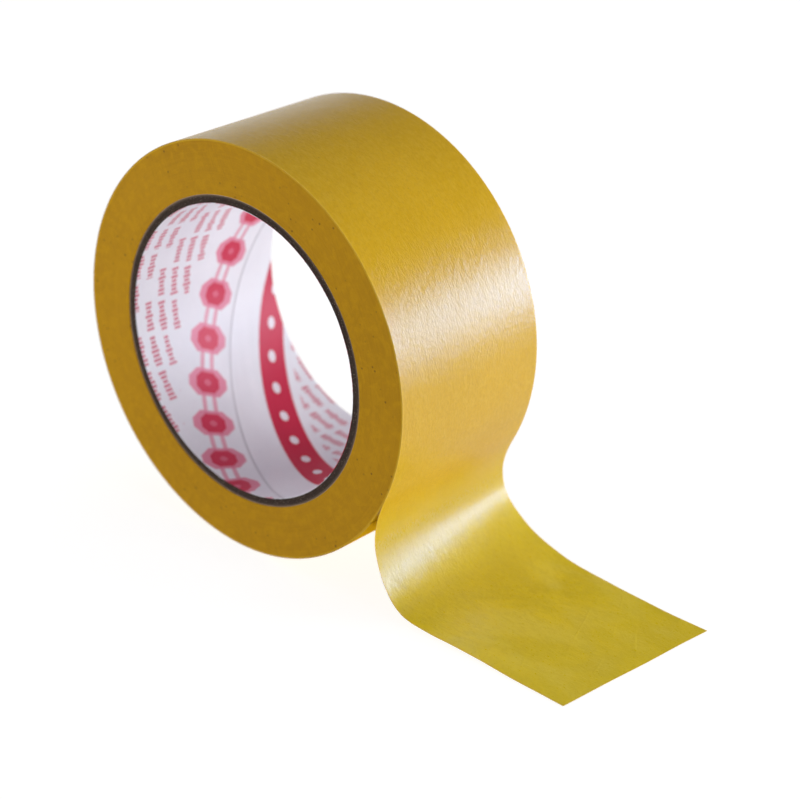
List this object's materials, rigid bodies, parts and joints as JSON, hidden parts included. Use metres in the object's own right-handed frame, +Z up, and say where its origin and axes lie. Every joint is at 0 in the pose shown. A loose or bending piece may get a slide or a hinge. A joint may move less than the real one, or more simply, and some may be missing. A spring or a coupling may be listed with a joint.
{
  "type": "masking tape roll",
  "caption": "Roll of yellow paper masking tape on a spiral-wound board core, standing on its rim with its free end drawn off and lying flat.",
  "frame": {"origin": "centre of the core's bore at mid width, on the roll's axis", "axes": "+Y along the roll's axis towards the rear face, +X towards the side where the free end is drawn off, +Z up, with the roll standing on its rim"},
  "size_m": [0.1652, 0.05, 0.109],
  "materials": {
    "printed_liner": "satin",
    "grey_chipboard": "matte",
    "kraft_wrap": "matte",
    "wound_tape": "matte",
    "tape_backing": "satin",
    "adhesive_coat": "satin"
  },
  "bodies": {
    "roll": {"core_liner": "printed_liner", "core_ply_1": "grey_chipboard", "core_ply_2": "grey_chipboard", "core_ply_3": "grey_chipboard", "core_ply_4": "grey_chipboard", "core_ply_5": "grey_chipboard", "core_wrap": "kraft_wrap", "tape_pack": "wound_tape"},
    "outer_turn": {"outer_turn_backing": "tape_backing", "outer_turn_adhesive": "adhesive_coat"},
    "tail_1": {"tail_1_backing": "tape_backing", "tail_1_adhesive": "adhesive_coat"},
    "tail_2": {"tail_2_backing": "tape_backing", "tail_2_adhesive": "adhesive_coat"},
    "tail_3": {"tail_3_backing": "tape_backing", "tail_3_adhesive": "adhesive_coat"},
    "tail_4": {"tail_4_backing": "tape_backing", "tail_4_adhesive": "adhesive_coat"},
    "tail_5": {"tail_5_backing": "tape_backing", "tail_5_adhesive": "adhesive_coat"},
    "tail_6": {"tail_6_backing": "tape_backing", "tail_6_adhesive": "adhesive_coat"}
  },
  "joints": [
    {"name": "unwind", "type": "hinge", "parent": "roll", "child": "outer_turn", "pos_m": [0, 0, 0], "axis": [0, -1, 0], "continuous": true},
    {"name": "tail_pull", "type": "hinge", "parent": "outer_turn", "child": "tail_1", "pos_m": [0.04808, 0, -0.02557], "axis": [0, -1, 0], "range_deg": [0, 90]},
    {"name": "bend_1", "type": "hinge", "parent": "tail_1", "child": "tail_2", "pos_m": [0.04607, 0, -0.03423], "axis": [0, -1, 0], "range_deg": [-27, 0]},
    {"name": "bend_2", "type": "hinge", "parent": "tail_2", "child": "tail_3", "pos_m": [0.04975, 0, -0.04441], "axis": [0, -1, 0], "range_deg": [-27, 0]},
    {"name": "bend_3", "type": "hinge", "parent": "tail_3", "child": "tail_4", "pos_m": [0.05837, 0, -0.05106], "axis": [0, -1, 0], "range_deg": [-27, 0]},
    {"name": "tip_lift", "type": "hinge", "parent": "tail_4", "child": "tail_5", "pos_m": [0.07393, 0, -0.05433], "axis": [0, -1, 0], "range_deg": [0, 30]},
    {"name": "tip_curl", "type": "hinge", "parent": "tail_5", "child": "tail_6", "pos_m": [0.09093, 0, -0.05446], "axis": [0, -1, 0], "range_deg": [0, 30]}
  ],
  "couplings": [
    {"joint": "bend_1", "follows": "tail_pull", "ratio": -0.3},
    {"joint": "bend_2", "follows": "tail_pull", "ratio": -0.3},
    {"joint": "bend_3", "follows": "tail_pull", "ratio": -0.3},
    {"joint": "tip_curl", "follows": "tip_lift", "ratio": 1}
  ]
}
